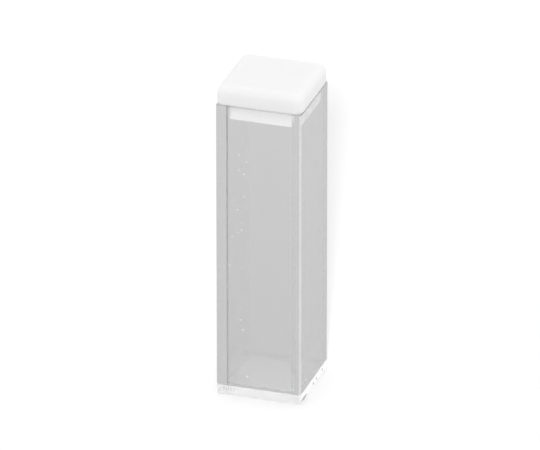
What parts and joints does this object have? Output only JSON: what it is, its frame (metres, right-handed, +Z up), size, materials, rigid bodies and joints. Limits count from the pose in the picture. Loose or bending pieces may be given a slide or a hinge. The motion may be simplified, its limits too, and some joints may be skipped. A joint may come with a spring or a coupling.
{
  "type": "cuvette",
  "caption": "Clear square cell for liquid samples, with flat polished windows fused to a base plate and a loose white push-in cover.",
  "frame": {"origin": "middle of the foot, on the surface the cell stands on", "axes": "+Z up the cell towards its mouth, -Y out of the front window, +X out of the right side window"},
  "size_m": [0.0126, 0.0126, 0.0478],
  "materials": {
    "window_glass": "polished flat faces, finely ground bevels",
    "base_glass": "polished flat faces, finely ground bevels",
    "cover_white": "smooth, waxy, slightly soft sheen"
  },
  "bodies": {
    "cell": {"front_window": "window_glass", "back_window": "window_glass", "left_window": "window_glass", "right_window": "window_glass", "base_plate": "base_glass"},
    "cover": {"cover": "cover_white"}
  },
  "joints": [
    {"name": "cover_lift", "type": "slide", "parent": "cell", "child": "cover", "axis": [0, 0, 1], "range_m": [0, 0.02]}
  ]
}
